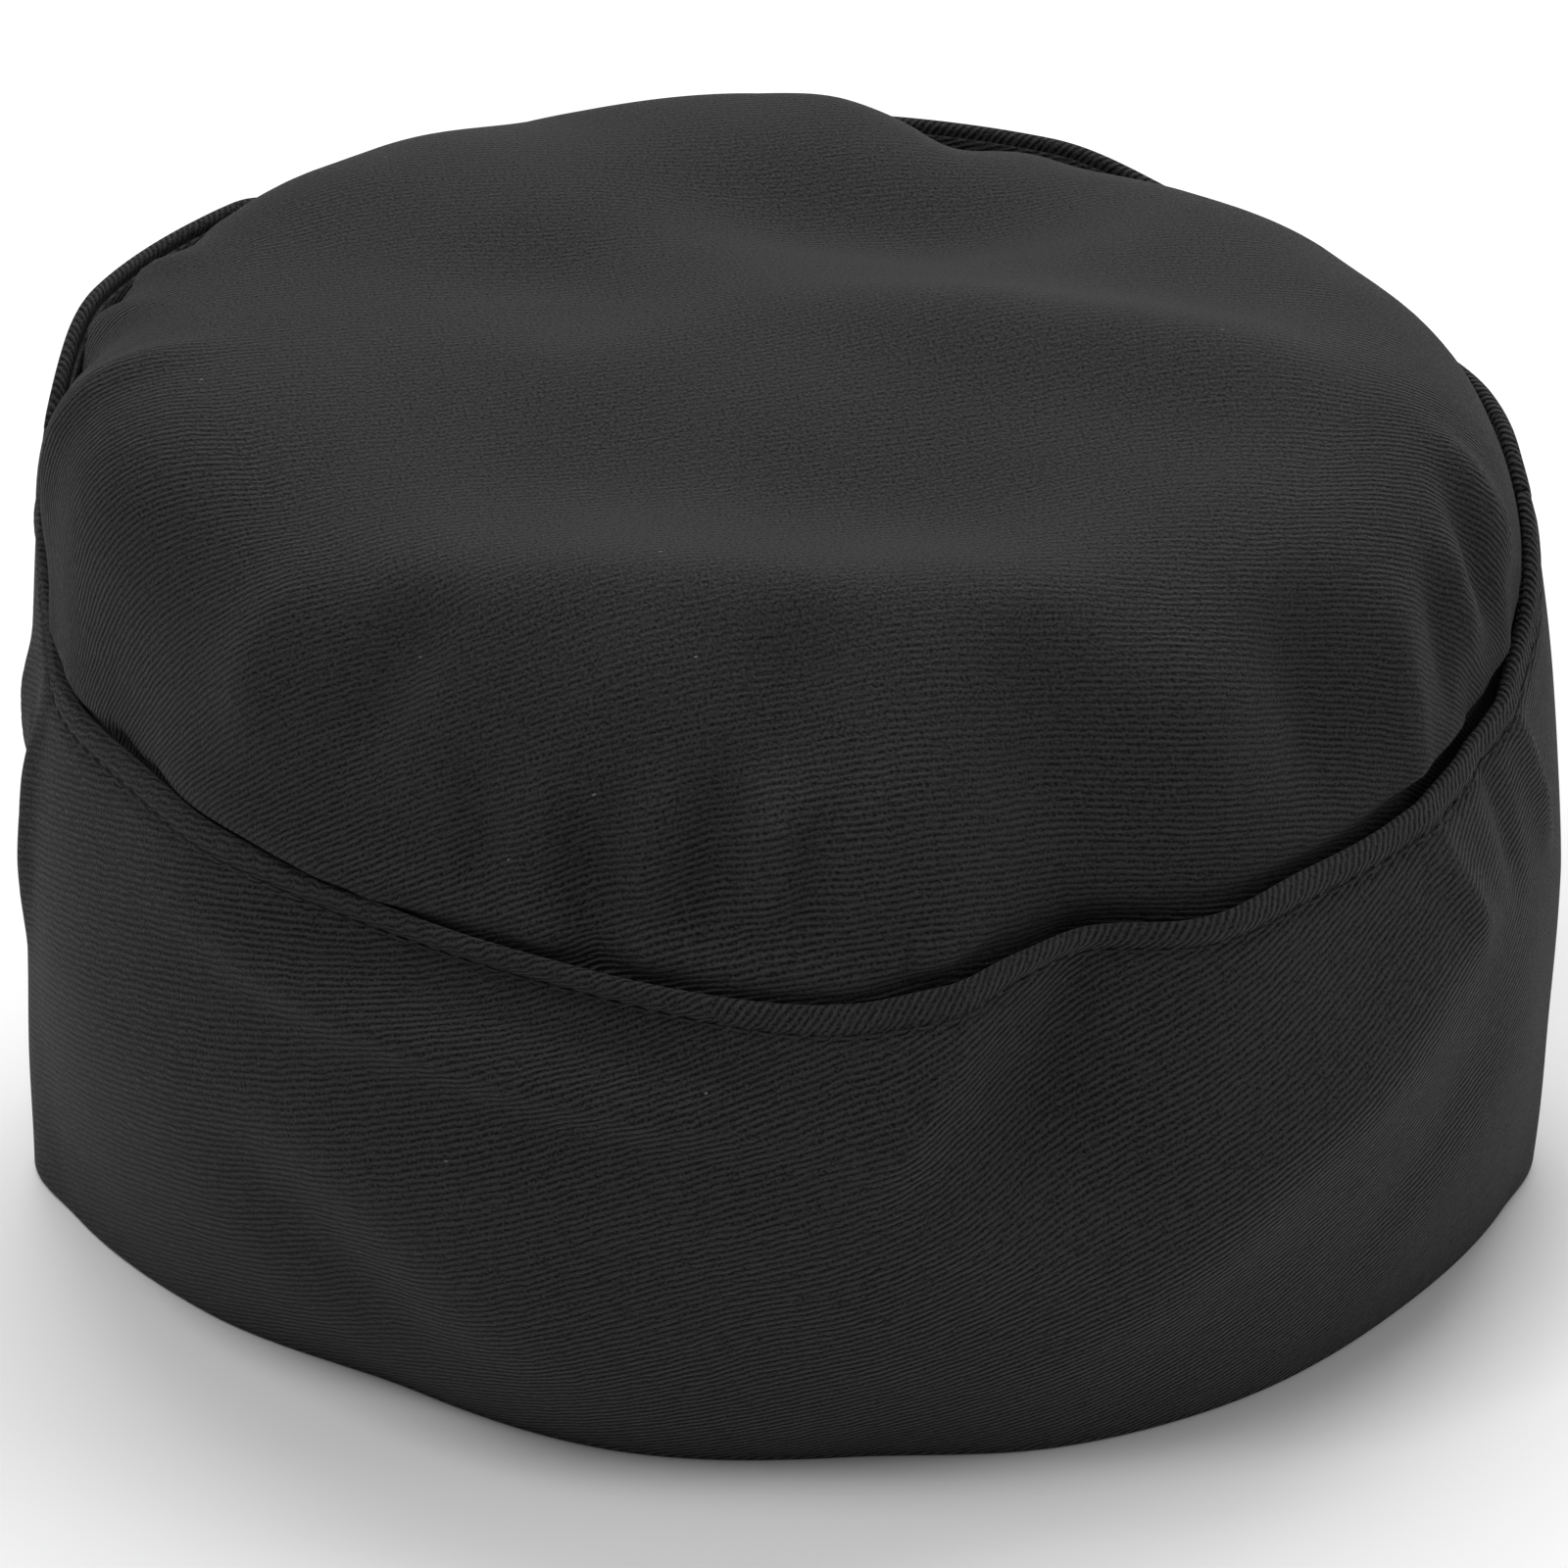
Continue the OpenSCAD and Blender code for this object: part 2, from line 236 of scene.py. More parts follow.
def cuff_radius(t, z):
    """How far the outside of the cuff is from the axis."""
    t, z = np.broadcast_arrays(np.asarray(t, float), np.asarray(z, float))
    rim, belly, lean = around(RIM, t), around(BELLY, t), around(LEAN, t)
    below = rim + (belly - rim) * (1 - (1 - np.clip(z / BELLY_Z, 0, 1)) ** 2)
    above = belly - lean * (np.clip(z - BELLY_Z, 0, None) / LEAN_HEIGHT) ** LEAN_POWER
    r = np.where(z < BELLY_Z, below, above)
    a = np.radians(t)
    x = UNEVEN_RADIUS * np.sin(a) + UNEVEN_SLANT * z
    y = UNEVEN_RADIUS * np.cos(a) - UNEVEN_SLANT * z
    uneven = UNEVEN * waves(x, y, UNEVEN_SIZE, UNEVEN_COUNT, SEED + 1)
    return r + smooth(z / LOOSE_FROM) * (cuff_folds(t, z) + uneven) + back_gathers(t, z)


def cuff_height(t):
    return around(HEIGHT, t)


def point(t, r, z):
    a = np.radians(t)
    t, r, z = np.broadcast_arrays(a, r, z)
    return np.stack([r * np.sin(a), -r * np.cos(a), z], axis=-1)


def unit(v):
    return v / np.maximum(np.linalg.norm(v, axis=-1, keepdims=True), 1e-12)


def normals_of(grid, closed):
    """Outward normals of a grid whose rows go up and whose columns go round with t."""
    if closed:
        across = np.roll(grid, -1, 1) - np.roll(grid, 1, 1)
    else:
        across = np.gradient(grid, axis=1)
    return unit(np.cross(across, np.gradient(grid, axis=0)))


# ---- Meshes ----

def new_mesh(name, vertices, faces, uv=None):
    """A smooth-shaded object from millimetre vertices; uv is one pair per face corner, in metres."""
    mesh = bpy.data.meshes.new(name)
    mesh.from_pydata((np.asarray(vertices) * MM).tolist(), [], faces)
    mesh.polygons.foreach_set("use_smooth", [True] * len(mesh.polygons))
    if uv is not None:
        layer = mesh.uv_layers.new(name="cloth")
        layer.data.foreach_set("uv", np.asarray(uv, np.float32).ravel())
    mesh.update()
    obj = bpy.data.objects.new(name, mesh)
    bpy.context.scene.collection.objects.link(obj)
    return obj


def cloth(name, grid, thickness, cloth_xy, closed=False, strides=None, edge_xy=None, edge_rows=(),
          edge_from=0):
    """A closed solid ply. grid is its outer skin (rows, columns, 3), and the inner skin lies thickness
    behind it. strides lets a row use every 2nd, 4th ... column, and a last row with stride 0 is a point.
    cloth_xy places each vertex on the flat cloth. For the faces in edge_rows, past the column
    edge_from, edge_xy does that instead."""
    rows, columns = grid.shape[:2]
    normal = normals_of(grid, closed)
    strides = strides or [1] * rows
    picked, number = [], []
    count = 0
    for i, k in enumerate(strides):
        cols = np.arange(0, columns, k) if k else np.array([0])
        picked += [(i, c) for c in cols]
        number.append(np.arange(count, count + len(cols)))
        count += len(cols)
    index = np.array(picked)
    outer = grid[index[:, 0], index[:, 1]]
    if strides[-1] == 0:
        normal[-1, 0] = unit(normal[-2].mean(0))
    inner = outer - normal[index[:, 0], index[:, 1]] * thickness
    faces, face_row = [], []
    column_of = np.concatenate([index[:, 1]] * 2)

    def add(face, row):
        faces.append(face)
        face_row.append(row)
        faces.append([v + count for v in reversed(face)])
        face_row.append(row)

    for i in range(rows - 1):
        a, b = number[i].tolist(), number[i + 1].tolist()
        if closed:
            a.append(a[0])
            b.append(b[0])
        if strides[i + 1] == 0:
            for j in range(len(a) - 1):
                add([a[j], a[j + 1], b[0]], i)
        elif strides[i + 1] == strides[i]:
            for j in range(len(a) - 1):
                add([a[j], a[j + 1], b[j + 1], b[j]], i)
        else:
            for j in range(len(b) - 1):
                add([a[2 * j], a[2 * j + 1], b[j]], i)
                add([a[2 * j + 1], b[j + 1], b[j]], i)
                add([a[2 * j + 1], a[2 * j + 2], b[j + 1]], i)

    def wall(line, row):
        for p, q in zip(line[:-1], line[1:]):
            faces.append([q, p, p + count, q + count])
            face_row.append(row)

    first, last = number[0].tolist(), number[-1].tolist()
    if closed:
        first.append(first[0])
        last.append(last[0])
    wall(first, 0)
    if strides[-1] != 0:
        wall(last[::-1], rows - 2)
    if not closed:
        wall([int(n[0]) for n in number][::-1], 0)
        wall([int(n[-1]) for n in number], 0)

    flat = np.concatenate([cloth_xy[index[:, 0], index[:, 1]]] * 2) * MM
    corners = np.concatenate([np.array(f) for f in faces])
    uv = flat[corners]
    if edge_xy is not None:
        other = np.concatenate([edge_xy[index[:, 0], index[:, 1]]] * 2) * MM
        past = np.array([column_of[f].min() for f in faces]) >= edge_from
        in_edge = np.repeat(np.isin(face_row, edge_rows) & past, [len(f) for f in faces])
        uv = np.where(in_edge[:, None], other[corners], uv)
    return new_mesh(name, np.concatenate([outer, inner]), faces, uv)


def turned(xy, degrees):
    """Cloth coordinates turned so that the twill's ribs run at this angle to the first of them."""
    a = math.radians(degrees)
    x, y = xy[..., 0], xy[..., 1]
    return np.stack([x * math.cos(a) + y * math.sin(a), -x * math.sin(a) + y * math.cos(a)], axis=-1)


def run_along(grid):
    """Distance along each row of a grid, from its middle column."""
    d = np.linalg.norm(np.diff(grid, axis=1), axis=-1)
    s = np.concatenate([np.zeros((grid.shape[0], 1)), np.cumsum(d, axis=1)], axis=1)
    return s - s[:, s.shape[1] // 2: s.shape[1] // 2 + 1]


def run_up(grid):
    d = np.linalg.norm(np.diff(grid, axis=0), axis=-1)
    return np.concatenate([np.zeros((1, grid.shape[1])), np.cumsum(d, axis=0)], axis=0)


# The angle of the twill's ribs to each piece, in degrees.
BAND_RIBS = 21
EDGE_RIBS = 55
EDGE_BAND_FROM = -6               # the rolled edge shows its own, steeper ribs from this angle on
CROWN_RIBS = 11
CUFF_ROWS = 84
ROLL_STEPS_LOW, ROLL_STEPS_TOP = 7, 9
LEG_STEPS = 3
ROLL_CREST = -8                   # the row on the crest of the top roll, from the end
SEAM_DIP, SEAM_DIP_WIDTH = 0.35, 0.8
STITCH_DROP = 3.6
STITCH_PITCH = 3.1
STITCH_LENGTH = 2.3
THREAD = 0.2                      # the sewing thread's radius


def columns_between(t0, t1):
    return np.linspace(t0, t1, max(3, int(round((t1 - t0) / COLUMN)) + 1))


def cuff_outer(name, t0, t1):
    """The outer ply: it comes up inside the rim, turns under it, and is rolled over at the top."""
    t = columns_between(t0 + SEAM_GAP, t1 - SEAM_GAP)
    top = cuff_height(t)
    rows_r, rows_z = [], []

    def roll(level, side, angles):
        middle = cuff_radius(t, level) - ROLL
        for a in np.radians(angles):
            rows_r.append(middle + ROLL * math.cos(a))
            rows_z.append(level + side * ROLL * abs(math.sin(a)))

    low = np.full_like(t, ROLL)
    for d in np.linspace(ROLL_LEG, 1, LEG_STEPS):
        rows_r.append(cuff_radius(t, low + d) - 2 * ROLL)
        rows_z.append(low + d)
    roll(low, -1, np.linspace(180, 0, ROLL_STEPS_LOW))
    rows_low = len(rows_r)
    for v in np.linspace(0, 1, CUFF_ROWS)[1:-1]:
        z = low + (top - ROLL - low) * v
        rows_r.append(cuff_radius(t, z))
        rows_z.append(z)
    roll(top - ROLL, 1, np.linspace(0, 180, ROLL_STEPS_TOP))
    for d in np.linspace(1, ROLL_LEG, LEG_STEPS):
        rows_r.append(cuff_radius(t, top - ROLL - d) - 2 * ROLL)
        rows_z.append(top - ROLL - d)
    r, z = np.array(rows_r), np.array(rows_z)
    below = top[None, :] - z
    row = np.arange(len(r))[:, None]
    on_outside = (row >= rows_low) & (row < len(r) - ROLL_STEPS_TOP - LEG_STEPS)
    from_seam = (SEAM_ANGLE - np.abs(turn_between(t, 0)))[None, :] * CUFF_MM_PER_DEG
    seam = -SEAM_DIP * np.exp(-(from_seam / SEAM_DIP_WIDTH) ** 2)
    r = r + np.where(on_outside, stitch_groove(t[None, :], below) + seam, 0)
    grid = point(t[None, :], r, z)
    up = run_up(grid)
    along_belly = run_along(point(t[None, :], cuff_radius(t, BELLY_Z)[None, :], 0 * t[None, :]))[0]
    along_edge = run_along(point(t[None, :], cuff_radius(t, top)[None, :], top[None, :]))[0]
    xy = np.stack([np.broadcast_to(along_belly, r.shape), up], axis=-1)
    edge = np.stack([np.broadcast_to(along_edge, r.shape), up - up[ROLL_CREST]], axis=-1)
    edge_rows = [i for i in range(rows_low, len(r)) if below[i].mean() < STITCH_DROP]
    return cloth(name, grid, PLY, turned(xy, BAND_RIBS), edge_xy=turned(edge, EDGE_RIBS),
                 edge_rows=edge_rows, edge_from=int(np.searchsorted(t, EDGE_BAND_FROM)))


GROOVE, GROOVE_BEAT, GROOVE_WIDTH = 0.28, 0.42, 0.8
PUFF, PUFF_WIDTH = 0.28, 0.9


def stitch_groove(t, below):
    """The stitches pull the cloth in along their row, most at each stitch's ends."""
    beat = 0.5 + 0.5 * np.cos(2 * math.pi * t * CUFF_MM_PER_DEG / STITCH_PITCH)
    dip = -(GROOVE + GROOVE_BEAT * beat) * np.exp(-((below - STITCH_DROP) / GROOVE_WIDTH) ** 2)
    puff = PUFF * np.exp(-((below - STITCH_DROP / 2) / PUFF_WIDTH) ** 2)
    return dip + puff


def ply(name, t0, t1, low, high, inset, thickness, ribs=0, rows=24):
    """A plain strip that follows the cuff, inset behind its outside."""
    t = columns_between(t0, t1)
    v = np.linspace(0, 1, rows)[:, None]
    z = low(t)[None, :] * (1 - v) + high(t)[None, :] * v
    grid = point(t[None, :], cuff_radius(t[None, :], z) - inset, z)
    xy = np.stack([run_along(grid), z], axis=-1)
    return cloth(name, grid, thickness, turned(xy, ribs))


def level(z):
    """The same height at every angle."""
    return lambda t: np.full_like(np.asarray(t, float), float(z))


# ---- The crown ----

# Ridges (+) and hollows (-) of the crown's cloth: height, half width, then points on the flat
# cloth, (across, front to back), measured over the surface from the crown's middle.
CROWN_FOLDS = [
    (-5.2, 13, [(-26, 42), (18, 35), (54, 42)]), (1.6, 10, [(-64, 56), (-34, 72), (-4, 76), (30, 66)]),
    (4.0, 11, [(-20, 12), (20, 2), (50, -7), (88, -16)]),
    (-4.8, 15, [(-76, -34), (-20, -31), (24, -38), (70, -36)]), (2.2, 15, [(-66, 26), (-30, 66)]),
    (-2.0, 12, [(-40, 30), (-24, 12), (-30, -8)]), (1.5, 7, [(-66, -44), (-30, -54), (4, -57), (50, -50)]),
    (-3.0, 5.5, [(-38, -52), (-48, -60), (-64, -72)]), (1.6, 6, [(-52, -44), (-66, -52), (-80, -62)]),
    (-2.4, 6, [(4, -56), (1, -70), (-2, -88)]), (0.8, 7, [(-14, -60), (-22, -72), (-26, -86)]),
    (-3.0, 7, [(58, -44), (70, -56), (84, -68)]), (1.6, 6, [(70, -36), (84, -46), (98, -54)]),
    (1.7, 8, [(42, -54), (54, -66), (66, -82)]), (-2.0, 7, [(26, -56), (34, -72), (40, -88)]),
    (-1.8, 3.2, [(-40, -70), (-43, -80), (-46, -92)]), (1.4, 3.4, [(-30, -74), (-36, -86), (-38, -102)]),
    (-2.4, 3.4, [(-26, -78), (-28, -90), (-29, -106)]), (2.2, 3.0, [(-16, -76), (-19, -90), (-20, -106)]),
    (-2.6, 3.6, [(-8, -74), (-10, -90), (-11, -106)]), (1.6, 3.4, [(0, -78), (-2, -90), (-3, -106)]),
    (2.0, 5.0, [(18, -74), (12, -88), (8, -106)]), (-1.4, 2.6, [(6, -82), (4, -92), (3, -104)]),
    (1.6, 3.2, [(-62, -2), (-84, -6), (-116, -8)]), (-2.4, 5, [(-72, 8), (-92, 8), (-124, 7)]),
    (1.4, 3.4, [(-108, 38), (-90, 31), (-68, 24)]), (-1.5, 3.0, [(-106, 46), (-90, 38), (-68, 33)]),
    (1.2, 3.4, [(-110, 26), (-92, 19), (-74, 12)]), (-1.2, 3, [(-112, 32), (-94, 25), (-78, 18)]),
    (1.5, 3.0, [(104, -13), (90, -14), (74, -12)]), (-1.8, 3.0, [(106, -22), (92, -22), (78, -18)]),
    (1.4, 3.0, [(104, -30), (90, -29), (78, -25)]), (-1.4, 3.2, [(102, -40), (90, -36), (78, -31)]),
    (-1.2, 4.5, [(17, 84), (20, 70), (24, 54)]), (0.9, 5, [(28, 86), (32, 70), (34, 54)]),
    (0.5, 5, [(4, 86), (6, 72), (10, 56)]), (-1.0, 5, [(42, 84), (46, 70), (46, 56)]),
]


CROWN_ARC = np.concatenate([np.linspace(90, 8, 150), np.linspace(7.5, 0, 16)])    # degrees from the top
CROWN_START = 1.5
CROWN_LOW_STEPS = 40
CROWN_LEAN_TO = 1.3


def crown_meridians(t):
    """Radius and height of the crown, from the rim to its middle."""
    phi = np.radians(CROWN_ARC)[:, None]
    sharp = around(CROWN_SHARPNESS, t)[None, :]
    share_r, share_z = np.sin(phi) ** (2 / sharp), np.cos(phi) ** (2 / sharp)
    high = around(CROWN_HIGH, t)[None, :]
    low = cuff_radius(t, CROWN_LOW_Z)[None, :] - CROWN_INSET
    top = CROWN_TOP - CROWN_TILT * share_r * high * np.cos(np.radians(t))[None, :]
    z = CROWN_MIDDLE + (top - CROWN_MIDDLE) * share_z
    lean = (z - CROWN_LOW_Z) / (CROWN_HIGH_Z - CROWN_LOW_Z)
    r = (low + (high - low) * np.clip(lean, 0, CROWN_LEAN_TO)) * share_r
    z_low = np.linspace(CROWN_START, CROWN_MIDDLE, CROWN_LOW_STEPS)[:-1][:, None] + 0 * t[None, :]
    r_low = cuff_radius(t[None, :], z_low) - CROWN_INSET
    return np.concatenate([r_low, r]), np.concatenate([z_low, z])


def even_rows(t, r, z):
    """The meridians again at even steps over the surface, closer where the crown shows. Also gives each
    row's distance from the crown's middle."""
    step = np.hypot(np.diff(r, axis=0), np.diff(z, axis=0))
    length = np.concatenate([np.zeros((1, len(t))), np.cumsum(step, axis=0)])
    rows_r, rows_z, rows_c = [], [], []
    for j in range(len(t)):
        total = length[-1, j]
        seen = np.interp(CROWN_SEEN_FROM, z[:CROWN_UPRIGHT_ROWS, j], length[:CROWN_UPRIGHT_ROWS, j])
        at = np.concatenate([np.linspace(0, seen, CROWN_HIDDEN_ROWS)[:-1],
                             np.linspace(seen, total, CROWN_SEEN_ROWS)])
        rows_r.append(np.interp(at, length[:, j], r[:, j]))
        rows_z.append(np.interp(at, length[:, j], z[:, j]))
        rows_c.append(total - at)
    return np.array(rows_r).T, np.array(rows_z).T, np.array(rows_c).T


CROWN_HIDDEN_ROWS = 16
CROWN_SEEN_ROWS = 104
CROWN_SEEN_FROM = 60
CROWN_UPRIGHT_ROWS = 60           # over these first rows the height only rises
CLEAR_BELOW, CLEAR_OVER = 24, 16
EDGE_ABOVE, EDGE_BLEND = 0.2, 0.9
EDGE_ABOVE_SHARE, EDGE_BLEND_SHARE = 1.4, 2.4


def keep_inside_cuff(t, r, z):
    """Moves the crown inwards where it would cut through the cuff, and further where it hangs clear."""
    edge = cuff_height(t)
    r = r + around(CROWN_OVER, t) * np.exp(-((z - edge - OVER_HEIGHT) / OVER_REACH) ** 2)
    clear = np.clip(around(CROWN_CLEAR, t) - CROWN_INSET, 0, None)
    room = cuff_radius(t, z) - CROWN_INSET - clear * smooth((z - edge + CLEAR_BELOW) / CLEAR_OVER)
    reach = EDGE_BLEND + EDGE_BLEND_SHARE * clear
    near_edge = smooth((edge + EDGE_ABOVE + EDGE_ABOVE_SHARE * clear - z) / reach)
    return np.where(r > room, r + (room - r) * near_edge, r)


CROWN_FLAT = 70
CORNER = 3                        # how sharply the hanging threads turn at the corners


def hanging_weave(a, c):
    """Where the panel's threads run: straight over the flat top, then hanging down over each side like
    a tablecloth, so that the spare cloth is taken up at the corners. c is the distance from the middle."""
    flat = np.minimum(c, CROWN_FLAT)
    hang = c - flat
    down = np.tanh(CORNER * np.cos(a)) / math.tanh(CORNER)
    return np.stack([flat * np.sin(a) + hang * np.sin(a) ** 3, -(flat * np.cos(a) + hang * down)], axis=-1)


CROWN_FOLDS_FROM, CROWN_FOLDS_OVER = 52, 16
CROWN_UNEVEN, CROWN_UNEVEN_SIZE, CROWN_UNEVEN_COUNT = 0.5, 42, 9
CROWN_CORE = 10                   # nearer to the axis than this, the cuff can't be in the way
# Every 2nd, 4th ... column is enough nearer to the middle than these distances.
CROWN_STRIDES = [(46, 1), (23, 2), (11, 4), (5, 8), (-1, 16)]


def crown():
    """The crown's one panel of cloth."""
    t = np.arange(CROWN_COLUMNS) * 360 / CROWN_COLUMNS - 180
    r, z = crown_meridians(t)
    r = keep_inside_cuff(t[None, :], r, z)
    r, z, c = even_rows(t, r, z)
    a = np.radians(t)[None, :]
    xy = np.stack([c * np.sin(a), -c * np.cos(a)], axis=-1)
    grid = point(t[None, :], r, z)
    normal = normals_of(grid, True)
    normal[-1] = (0, 0, 1)
    x, y = xy[..., 0], xy[..., 1]
    uneven = CROWN_UNEVEN * waves(x, y, CROWN_UNEVEN_SIZE, CROWN_UNEVEN_COUNT, SEED + 2)
    move = (folds(x, y, CROWN_FOLDS) + uneven) * smooth((z - CROWN_FOLDS_FROM) / CROWN_FOLDS_OVER)
    grid = grid + normal * move[..., None]
    radius = np.hypot(grid[..., 0], grid[..., 1])
    room = keep_inside_cuff(t[None, :], radius, grid[..., 2]) / np.maximum(radius, 1e-9)
    grid[..., :2] *= np.where(radius > CROWN_CORE, room, 1)[..., None]
    strides = [next(stride for least, stride in CROWN_STRIDES if m > least) for m in c.mean(1)]
    strides[-1] = 0
    for i in range(1, len(strides) - 1):
        strides[i] = min(strides[i], strides[i - 1] * 2)
    return cloth("crown_panel_cloth", grid, PLY, turned(hanging_weave(a, c), CROWN_RIBS),
                 closed=True, strides=strides)


# ---- Materials ----

def node_tree(name):
    material = bpy.data.materials.new(name)
    material.use_nodes = True
    nodes = material.node_tree.nodes
    return material, nodes, material.node_tree.links, nodes["Principled BSDF"]


def math_node(nodes, links, operation, a, b=None):
    node = nodes.new("ShaderNodeMath")
    node.operation = operation
    for socket, value in zip(node.inputs, (a, b)):
        if value is None:
            continue
        if isinstance(value, (int, float)):
            socket.default_value = value
        else:
            links.new(value, socket)
    return node.outputs[0]


def multiply_add(nodes, links, a, b, c):
    """a times b plus c, where b and c are numbers."""
    output = math_node(nodes, links, "MULTIPLY_ADD", a, b)
    output.node.inputs[2].default_value = c
    return output


def noise(nodes, links, vector, scale, detail=2.0):
    node = nodes.new("ShaderNodeTexNoise")
    node.inputs["Scale"].default_value = scale
    node.inputs["Detail"].default_value = detail
    links.new(vector, node.inputs["Vector"])
    return node.outputs["Fac"]


def stretched(nodes, links, vector, scale):
    node = nodes.new("ShaderNodeMapping")
    node.inputs["Scale"].default_value = scale
    links.new(vector, node.inputs["Vector"])
    return node.outputs[0]


def ramp(nodes, links, fac, dark, light):
    """A colour between dark and light."""
    node = nodes.new("ShaderNodeMix")
    node.data_type = "RGBA"
    links.new(fac, node.inputs[0])
    node.inputs[6].default_value = (*dark, 1)
    node.inputs[7].default_value = (*light, 1)
    return node.outputs[2]


FLAT_FROM, FLAT_TO = 0.058, 0.1   # metres from the middle of the crown


def flattened(nodes, links, vector, ribs, amount):
    """The ribs, drawn towards their mean by this amount near the middle of the cloth."""
    if not amount:
        return ribs
    length = nodes.new("ShaderNodeVectorMath")
    length.operation = "LENGTH"
    links.new(vector, length.inputs[0])
    fade = nodes.new("ShaderNodeMapRange")
    links.new(length.outputs["Value"], fade.inputs["Value"])
    for socket, value in zip(fade.inputs[1:5], (FLAT_FROM, FLAT_TO, 1 - amount, 1)):
        socket.default_value = value
    centred = math_node(nodes, links, "SUBTRACT", ribs, RIB_MEAN)
    scaled = math_node(nodes, links, "MULTIPLY", centred, fade.outputs[0])
    return math_node(nodes, links, "ADD", scaled, RIB_MEAN)


LINT_CELLS = 85
LINT_STRETCH = (1, 1.6, 1)
LINT_SIZE = 0.02
LINT_COVER = 0.6
LINT = (0.16, 0.16, 0.16, 1)


def flecked(nodes, links, vector, colour):
    """The colour with a few tiny specks of pale lint on it."""
    cells = nodes.new("ShaderNodeTexVoronoi")
    cells.inputs["Scale"].default_value = LINT_CELLS
    links.new(stretched(nodes, links, vector, LINT_STRETCH), cells.inputs["Vector"])
    speck = math_node(nodes, links, "LESS_THAN", cells.outputs["Distance"], LINT_SIZE)
    node = nodes.new("ShaderNodeMix")
    node.data_type = "RGBA"
    links.new(math_node(nodes, links, "MULTIPLY", speck, LINT_COVER), node.inputs[0])
    links.new(colour, node.inputs[6])
    node.inputs[7].default_value = LINT
    return node.outputs[2]


RIB_PITCH = 0.00085
RIB_DEPTH = 0.0003
RIB_MEAN = 0.45
RIB_WOBBLE, RIB_WOBBLE_SCALE = 0.0007, 260
YARN_SCALE = (500, 1900, 1)       # short floats of yarn, long along the rib
YARN_GAIN, YARN_OFFSET = 2.2, -0.2
FUZZ_SCALE = (2600, 2600, 1)
FUZZ_BUMP, FUZZ_SHADE = 0.9, 2.6
# How strongly the colour follows the ribs: painted shade that darkens the grooves between them.
GROOVE_PAINTED_SHADE, SHADE_OFFSET = 1.0, -1.25
PATCHES, PATCHES_SCALE = 0.25, 45
TWILL_DARK, TWILL_LIGHT = (0.0045, 0.0045, 0.0048), (0.034, 0.034, 0.035)
TWILL_ROUGHNESS = 0.7
TWILL_SPECULAR = 0.06
TWILL_SHEEN, TWILL_SHEEN_ROUGHNESS = 0.07, 0.4
TWILL_SHEEN_TINT = (0.9, 0.9, 0.95, 1)


def twill_material(name, flat_middle=0.0):
    """Black twill: slanted ribs made of short yarn floats, a little fuzz, and a soft sheen. Its colour is
    painted darker in the grooves between the ribs, as painted shade. flat_middle flattens the ribs, and
    their painted groove shade, around the middle of the piece, where the stretched cloth lies flat."""
    material, nodes, links, shader = node_tree(name)
    uv = nodes.new("ShaderNodeUVMap")
    uv.uv_map = "cloth"
    vector = uv.outputs[0]
    split = nodes.new("ShaderNodeSeparateXYZ")
    links.new(vector, split.inputs[0])
    wobble = math_node(nodes, links, "SUBTRACT", noise(nodes, links, vector, RIB_WOBBLE_SCALE, 1), 0.5)
    drift = math_node(nodes, links, "MULTIPLY", wobble, RIB_WOBBLE)
    across = math_node(nodes, links, "ADD", split.outputs[1], drift)
    turns = math_node(nodes, links, "MULTIPLY", across, 2 * math.pi / RIB_PITCH)
    wave = multiply_add(nodes, links, math_node(nodes, links, "COSINE", turns), 0.5, 0.5)
    floats = noise(nodes, links, stretched(nodes, links, vector, YARN_SCALE), 1, 1)
    yarn = multiply_add(nodes, links, floats, YARN_GAIN, YARN_OFFSET)
    body = math_node(nodes, links, "MULTIPLY", wave, yarn)
    body = flattened(nodes, links, vector, body, flat_middle)
    fuzz = noise(nodes, links, stretched(nodes, links, vector, FUZZ_SCALE), 1, 2)
    height = math_node(nodes, links, "ADD", body, math_node(nodes, links, "MULTIPLY", fuzz, FUZZ_BUMP))
    patchy = noise(nodes, links, vector, PATCHES_SCALE, 2)
    # The colour: painted shade darkening the grooves between the ribs, plus the random tone of the yarn
    # floats, fuzz and patches.
    shade = multiply_add(nodes, links, body, GROOVE_PAINTED_SHADE, SHADE_OFFSET)
    for tone, amount in ((fuzz, FUZZ_SHADE), (patchy, PATCHES)):
        shade = math_node(nodes, links, "ADD", shade, math_node(nodes, links, "MULTIPLY", tone, amount))
    colour = ramp(nodes, links, shade, TWILL_DARK, TWILL_LIGHT)
    links.new(flecked(nodes, links, vector, colour), shader.inputs["Base Color"])
    bump = nodes.new("ShaderNodeBump")
    bump.inputs["Distance"].default_value = RIB_DEPTH
    links.new(height, bump.inputs["Height"])
    links.new(bump.outputs[0], shader.inputs["Normal"])
    shader.inputs["Roughness"].default_value = TWILL_ROUGHNESS
    shader.inputs["Specular IOR Level"].default_value = TWILL_SPECULAR
    shader.inputs["Sheen Weight"].default_value = TWILL_SHEEN
    shader.inputs["Sheen Roughness"].default_value = TWILL_SHEEN_ROUGHNESS
    shader.inputs["Sheen Tint"].default_value = TWILL_SHEEN_TINT
    return material


def plain_cloth(name, dark, light, scale, depth, rough=0.9, sheen=0.1):
    """A plain-woven or felted cloth of two close tones."""
    material, nodes, links, shader = node_tree(name)
    place = nodes.new("ShaderNodeTexCoord")
    fibres = noise(nodes, links, place.outputs["Object"], scale, 3)
    links.new(ramp(nodes, links, fibres, dark, light), shader.inputs["Base Color"])
    bump = nodes.new("ShaderNodeBump")
    bump.inputs["Distance"].default_value = depth
    links.new(fibres, bump.inputs["Height"])
    links.new(bump.outputs[0], shader.inputs["Normal"])
    shader.inputs["Roughness"].default_value = rough
    shader.inputs["Sheen Weight"].default_value = sheen
    return material


